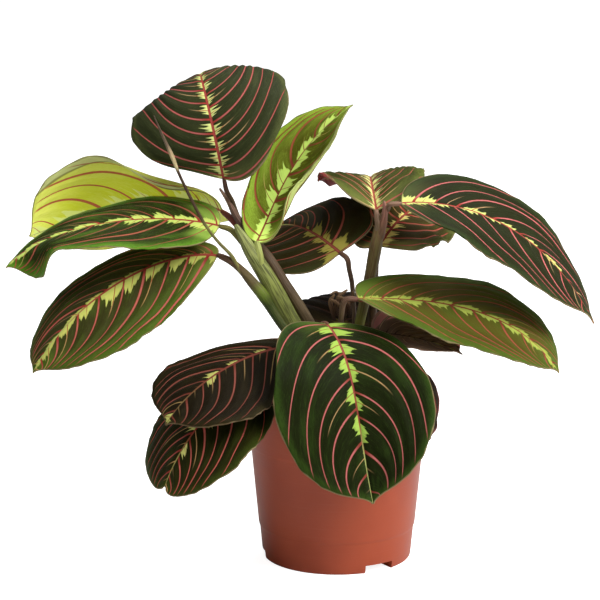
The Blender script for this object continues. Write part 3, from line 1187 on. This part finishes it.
LEAVES = {
    "top": {
        "midrib": [[-70, 4, 239], [-76, -7, 274], [-91, 40, 325], [-85, 83, 282]],
        "pairs": 12,
        "side": [[0.65, -0.15, -0.4], [0.75, -0.05, 0.5]],
        "lobe": 2, "scallop": 1.2, "fan": 36, "leaving": [86, 64],
        "left": {"width": 52, "egg": 0.18, "fold": [-8, -2], "curl": [-22, -27]},
        "right": {"width": 52, "fold": [25, 0], "curl": [-35, -52]},
        "looks": {"Dark": (45, 50, 26), "Fresh": (78, 84, 45), "Lime": (214, 222, 134),
                  "Lime reach": 9.5, "Vein": (180, 98, 92), "Lime band": 0.5, "Lime spread": 0.7,
                  "Lime body": 0.45, "Vein width": 1.25, "Rim width": 6.0, "Lime base": 0.25},
    },
    "lime_upright": {
        "midrib": [[-50, -4, 201], [-41, 24, 212], [-32, 37, 252], [10, 37, 281]],
        "side": [[0.75, -0.4, 0.25], [0.55, -0.3, 0.55]],
        "pairs": 6, "turn": [0.1, 0.85], "lobe": 0,
        "left": {"width": 24, "egg": -0.15, "fold": [30, 25], "curl": [15, 10]},
        "right": {"width": 28, "egg": -0.1, "fold": [-45, -30], "curl": [170, 55]},
        "slot": "leaf_lime", "under": PALE_UNDERSIDE,
        "looks": {"Dark": (88, 90, 22), "Fresh": (148, 178, 56), "Lime": (204, 234, 112),
                  "Lime end": 1.1, "Lime peak": 0.4, "Lime tilt": -0.1, "Lime body": 0.75,
                  "Vein": (164, 88, 56), "Midrib": (132, 60, 44), "Midrib width": 1.1,
                  "Rim width": 15.0, "Flush": (196, 210, 124), "Flush right": 1.2, "Flush from": 0.12,
                  "Flush end": 0.8, "Edge": (110, 104, 60), "Lime band": 1.4},
    },
    "lime_left": {
        "midrib": [[-72, 24, 215], [-97, 67, 221], [-166, 77, 203], [-198, 67, 191]],
        "side": [[-0.2, 0.1, 0.85], [0.1, 0.25, 0.9]],
        "pairs": 6, "turn": [0.1, 0.65],
        "left": {"width": 28, "egg": 0, "fold": [-45, -35], "curl": [-15, 0]},
        "right": {"width": 42, "egg": -0.15, "fold": [0, 10], "curl": [175, 40]},
        "slot": "leaf_lime", "under": PALE_UNDERSIDE,
        "looks": {"Dark": (226, 236, 58), "Fresh": (248, 255, 118), "Lime": (240, 252, 140),
                  "Lime reach": 15.0, "Lime peak": 0.5, "Lime tilt": 0.2, "Vein": (204, 112, 72),
                  "Midrib": (190, 84, 60), "Rim width": 26.0, "Flush": (220, 226, 146),
                  "Flush right": 1.2, "Flush from": 0.66, "Flush end": 0.42, "Edge": (120, 116, 66)},
    },
    "left_long": {
        "midrib": [[-73, 1, 210], [-116, 4, 220], [-178, -10, 214], [-204, -15, 187]],
        "pairs": 9,
        "side": [[0, 0.9, 0.35], [-0.05, 0.95, 0]],
        "turn": [0.76, 0.96],
        "left": {"width": 42, "egg": 0.12, "fold": [5, -72], "curl": [-12, 0]},
        "right": {"width": 38, "egg": 0.2, "fold": [5, -5], "curl": [-18, 10]},
        "looks": {"Dark": (38, 42, 12), "Fresh": (92, 138, 34), "Lime": (206, 224, 112),
                  "Vein": (168, 98, 74), "Lime reach": 9.5, "Lime tilt": -0.15, "Lime band": 1.6,
                  "Lime base": 1.6, "Lime peak": 0.25, "Lime spread": 1.25, "Lime body": 0.75,
                  "Vein width": 1.25, "Rim width": 10.0},
    },
    "left_drooping": {
        "midrib": [[-74, -11, 194], [-108, -2, 197], [-161, -30, 173], [-185, -49, 129]],
        "pairs": 9,
        "side": [[-0.2, 0.8, 0.55], [-0.15, 0.85, 0.55]],
        "lobe": -1,
        "left": {"width": 41.5, "egg": -0.13, "fold": [-17, -17], "curl": [0, 12]},
        "right": {"width": 43, "egg": 0.06, "fold": [-25, -12], "curl": [-5, -12]},
        "looks": {"Dark": (56, 55, 22), "Fresh": (78, 100, 28), "Lime": (202, 206, 104),
                  "Vein": (188, 100, 86), "Rim width": 15.0, "Rim tilt": -0.55, "Lime reach": 7.5,
                  "Lime tilt": -0.5, "Lime peak": 0.5, "Lime band": 0.7, "Lime spread": 1.3,
                  "Lime body": 0.75},
    },
    "low_left_upper": {
        "midrib": [[-30, -44, 144], [-54, -37, 141], [-88, -79, 131], [-103, -86, 106]],
        "side": [[-0.45, 1.05, 0.15], [-0.4, 0.72, 0.25]],
        "left": {"width": 42, "egg": -0.18, "fold": [-28, -15], "curl": [-5, 15]},
        "right": {"width": 34, "egg": -0.22, "fold": [-2, 0], "curl": [-10, 5]},
        "looks": {"Dark": (24, 18, 5), "Fresh": (44, 38, 16), "Lime": (176, 176, 96), "Lime reach": 8.0,
                  "Vein": (134, 74, 62), "Midrib": (110, 52, 40), "Lime band": 0.0, "Lime base": 0.0,
                  "Vein width": 1.25, "Lime spread": 0.6, "Lime peak": 0.75,
                  "Midrib tip": (110, 88, 54), "Lime share": 0.5, "Lime body": 0.8,
                  "Edge": (110, 92, 66)},
    },
    "low_left_lower": {
        "midrib": [[-53, -43, 125], [-67, -66, 124], [-94, -76, 96], [-104, -81, 67]],
        "side": [[-0.4, 0.85, 0.15], [-0.45, 0.87, 0.25]],
        "lobe": 0, "point": -5,
        "left": {"width": 42, "egg": 0, "fold": [-28, -20], "curl": [8, 15]},
        "right": {"width": 50, "egg": -0.18, "fold": [7, -2], "curl": [-37, -14]},
        "looks": {"Dark": (34, 34, 5), "Fresh": (58, 68, 20), "Lime": (244, 244, 140),
                  "Vein": (212, 110, 96), "Lime band": 0.0, "Lime base": 0.0, "Vein width": 1.3,
                  "Lime peak": 0.5, "Lime spread": 0.6, "Lime body": 0.9,
                  "Midrib tip": (170, 160, 90), "Lime share": 0.6, "Lime end": 0.85},
    },
    "back_centre": {
        "midrib": [[2, 12, 191], [-12, 29, 200], [-29, 53, 208], [-43, 73, 194]],
        "pairs": 7,
        "side": [[0.55, 0.6, 0.55], [0.65, 0.55, 0.55]],
        "left": {"width": 40, "egg": -0.1, "fold": [-10, -5], "curl": [0, 0]},
        "right": {"width": 42, "egg": 0.1, "fold": [0, -10], "curl": [-20, -10]},
        "looks": {"Dark": (50, 44, 19), "Fresh": (56, 60, 28), "Lime": (156, 146, 66),
                  "Lime reach": 12.0, "Lime end": 0.5, "Lime body": 0.8, "Vein": (172, 90, 76),
                  "Midrib": (112, 52, 40), "Vein width": 1.3, "Lime base": 0.0, "Lime tilt": 0.1},
    },
    "back_right": {
        "midrib": [[26, 14, 195], [40, 52, 208], [55, 79, 217], [69, 100, 198]],
        "side": [[1.04, -0.45, -0.23], [1.08, -0.18, -0.6]],
        "waves": 5, "wave_height": 1.5, "ripple": 0.7,
        "left": {"width": 40, "egg": -0.3, "fold": [-26, 8], "curl": [-14, 0]},
        "right": {"width": 33, "egg": 0, "fold": [3, -3], "curl": [-18, -5]},
        "looks": {"Dark": (66, 56, 22), "Fresh": (92, 100, 44), "Lime": (255, 238, 140),
                  "Vein": (190, 100, 80)},
    },
    "front": {
        "midrib": [[-7, -35, 156], [10, -82, 147], [10, -78, 108], [20, -101, 62]],
        "pairs": 7, "fan": 54, "leaving": [72, 46],
        "side": [[-0.9, -0.15, -0.05], [-0.9, -0.05, -0.15]],
        "left": {"width": 46, "egg": -0.15, "fold": [0, 30], "curl": [-25, 5]},
        "right": {"width": 50, "egg": 0.05, "fold": [20, 5], "curl": [-10, 0]},
        "looks": {"Dark": (24, 30, 5), "Fresh": (48, 70, 20), "Lime": (160, 192, 82),
                  "Vein": (188, 106, 102), "Lime band": 0.0, "Vein width": 1.35, "Lime reach": 12.5,
                  "Lime base": 0.4, "Lime peak": 0.0, "Rim width": 6.0, "Edge": (142, 126, 88),
                  "Lime body": 0.9, "Lime spread": 0.62, "Lime end": 0.76, "Midrib width": 1.75,
                  "Midrib": (134, 58, 46), "Lime tilt": 0.1},
    },
    "small_back": {
        "midrib": [[24, 10, 218], [22, 22, 231], [20, 59, 238], [24, 91, 223]],
        "side": [[0.86, -0.04, 0.1], [0.9, 0.04, 0.25]],
        "pairs": 9, "waves": 4, "wave_height": 1.5, "ripple": 0.6,
        "left": {"width": 35, "fold": [56, 14], "curl": [-50, -40]},
        "right": {"width": 35, "egg": 0.14, "fold": [28, 12], "curl": [-50, -40]},
        "looks": {"Dark": (58, 62, 18), "Fresh": (94, 104, 42), "Lime": (226, 228, 146),
                  "Lime reach": 10.0, "Lime end": 1.1, "Lime peak": 0.45, "Lime base": 0.2,
                  "Lime spread": 0.8, "Vein": (178, 104, 84), "Midrib": (170, 78, 70),
                  "Midrib width": 2.4, "Vein width": 1.1, "Flush": (150, 62, 60), "Flush left": 1.4,
                  "Flush from": 0.82, "Flush end": 9.0},
    },
    "right_long": {
        "midrib": [[39, -4, 225], [80, -4, 228], [127, -17, 213], [155, -42, 158]],
        "side": [[0.16, -0.84, -0.26], [0.08, -0.96, -0.26]],
        "point": 8, "fan": 46,
        "left": {"width": 42, "fold": [13, 1], "curl": [-9, 2]},
        "right": {"width": 46, "egg": 0.19, "fold": [21, -22], "curl": [-25, -8]},
        "looks": {"Dark": (36, 38, 16), "Fresh": (48, 62, 28), "Lime": (218, 226, 128),
                  "Vein": (200, 112, 110), "Lime band": 1.1, "Lime tilt": 0.1,
                  "Lime base": 0.2, "Lime peak": 0.08, "Lime spread": 0.8, "Rim width": 7.0,
                  "Vein width": 1.35, "Lime end": 0.78, "Midrib tip": (160, 78, 66),
                  "Lime share": 0.85},
    },
    "right_arching": {
        "midrib": [[12, -32, 171], [57, -21, 169], [106, -47, 172], [133, -57, 131]],
        "side": [[0, -0.9, -0.3], [-0.16, -0.96, -0.52]],
        "turn": [0, 0.7], "lobe": 5, "pairs": 9, "fan": 46,
        "left": {"width": 40, "egg": 0.12, "fold": [-1, -10], "curl": [-10, 0]},
        "right": {"width": 35, "egg": 0.1, "fold": [29, -7], "curl": [-40, 6]},
        "looks": {"Dark": (88, 82, 28), "Fresh": (78, 104, 32), "Lime": (170, 184, 80),
                  "Vein": (164, 88, 62), "Midrib": (130, 56, 44), "Rim width": 14.0, "Rim tilt": -0.1,
                  "Lime reach": 9.5, "Lime tilt": 0.35, "Lime base": 0.4, "Lime peak": 0.25,
                  "Lime spread": 1.3, "Vein width": 1.2, "Lime body": 0.75,
                  "Midrib tip": (150, 110, 60)},
    },
    "shaded_right": {
        "midrib": [[23, -9, 143], [39, -22, 148], [61, -41, 146], [75, -50, 141]],
        "side": [[0, -1, -0.1], [0, -1, -0.1]],
        "turn": [0.05, 0.4], "lobe": 0,
        "left": {"width": 21, "egg": 0.2, "fold": [100, 5], "curl": [-5, -5]},
        "right": {"width": 24, "fold": [5, 5], "curl": [-5, -5]},
        "looks": {"Dark": (122, 98, 82), "Fresh": (140, 112, 92), "Lime": (80, 66, 50),
                  "Lime reach": 1.0, "Vein": (186, 154, 126), "Midrib": (70, 48, 42),
                  "Vein width": 0.9, "Flush": (255, 160, 158), "Flush left": 1.5, "Flush end": 0.6,
                  "Edge": (150, 120, 100)},
    },
    "shaded_back": {
        "midrib": [[3, 15, 140], [4, 24, 150], [6, 44, 168], [6, 88, 146]],
        "side": [[1, 0.1, -0.08], [1, 0.1, -0.08]],
        "left": {"width": 42, "fold": [-8, -8], "curl": [-20, -20]},
        "right": {"width": 30, "curl": [-20, -20]},
        "looks": {"Dark": (34, 26, 16), "Fresh": (52, 46, 28), "Lime": (96, 84, 46), "Lime reach": 6.0,
                  "Vein": (66, 48, 38), "Midrib": (76, 52, 40)},
    },
    "behind_front": {
        "midrib": [[18, -25, 126], [33, -50, 141], [50, -68, 118], [43, -78, 86]],
        "side": [[-0.83, -0.45, 0], [-0.83, -0.45, 0]],
        "left": {"width": 21, "fold": [5, 5]},
        "right": {"width": 24, "fold": [5, 5]},
        "looks": {"Dark": (34, 24, 18), "Fresh": (48, 38, 30), "Lime": (96, 80, 60), "Lime reach": 3.0,
                  "Vein": (110, 60, 56), "Edge": (150, 84, 84)},
    },
}

for number, (leaf_name, spec) in enumerate(LEAVES.items(), start=1):
    leaf = {**PLAIN_LEAF, **spec, "name": f"leaf_{leaf_name}", "seed": float(number)}
    leaf["left"] = {**PLAIN_HALF, **spec["left"]}
    leaf["right"] = {**PLAIN_HALF, **spec["right"]}
    piece = blade(leaf)
    upper_looks = {**DARK_LEAF, **leaf["looks"]}
    piece.data.materials.append(leaf_skin(f"{leaf['name']}_upper", leaf, upper_looks, UPPER_SHEEN))
    piece.data.materials.append(leaf_skin(f"{leaf['name']}_under", leaf, leaf["under"], UNDER_SHEEN))
    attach(piece, "root")
    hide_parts(f"blade_{leaf_name}")


# Stage: a plain white floor, a white sky, and large soft lamps, the stronger one high on the right.

bpy.ops.mesh.primitive_plane_add(size=40)
floor = bpy.context.object
floor.name = "floor"
floor_material, floor_tree, floor_shader = new_material("white_floor", 0.9, 0.1)
floor_shader.inputs["Base Color"].default_value = (0.8, 0.8, 0.8, 1)
floor_shader.inputs["Emission Color"].default_value = (1, 1, 1, 1)
glow = add_node(floor_tree, "ShaderNodeLightPath")
floor_tree.links.new(calculate(floor_tree, "MULTIPLY", glow, 0.9), floor_shader.inputs["Emission Strength"])
floor.data.materials.append(floor_material)
bpy.context.scene.view_settings.view_transform = "Standard"

world = bpy.data.worlds.new("white_sky")
bpy.context.scene.world = world
world.use_nodes = True
sky = world.node_tree.nodes["Background"]
sky.inputs["Color"].default_value = (1, 1, 1, 1)
seen = add_node(world.node_tree, "ShaderNodeLightPath")
sky_strength = calculate(world.node_tree, "MULTIPLY_ADD", seen, 1.0, 0.18)
world.node_tree.links.new(sky_strength, sky.inputs["Strength"])


def lamp(name, place, size, power):
    """A square soft lamp that faces the middle of the plant."""
    bpy.ops.object.light_add(type="AREA", location=place)
    made = bpy.context.object
    made.name = name
    made.data.size = size
    made.data.energy = power
    towards = Vector((0, 0, 0.16)) - Vector(place)
    made.rotation_euler = towards.to_track_quat("-Z", "Y").to_euler()


lamp("high_right_lamp", (1.1, -0.85, 1.45), 0.9, 40)
lamp("left_front_lamp", (-0.8, -1.2, 1.8), 1.2, 9)
lamp("overhead_lamp", (0.2, 0.6, 1.7), 0.9, 12)
lamp("right_rim_lamp", (1.3, 0.5, 0.4), 0.7, 4)

CAMERA_PLACE = (-0.0232, -1.523, 0.489)
CAMERA_PITCH = 12.06
bpy.ops.object.camera_add(location=CAMERA_PLACE, rotation=(math.radians(90 - CAMERA_PITCH), 0, 0))
camera = bpy.context.object
camera.data.sensor_width = 36
camera.data.lens = 150.48
bpy.context.scene.camera = camera
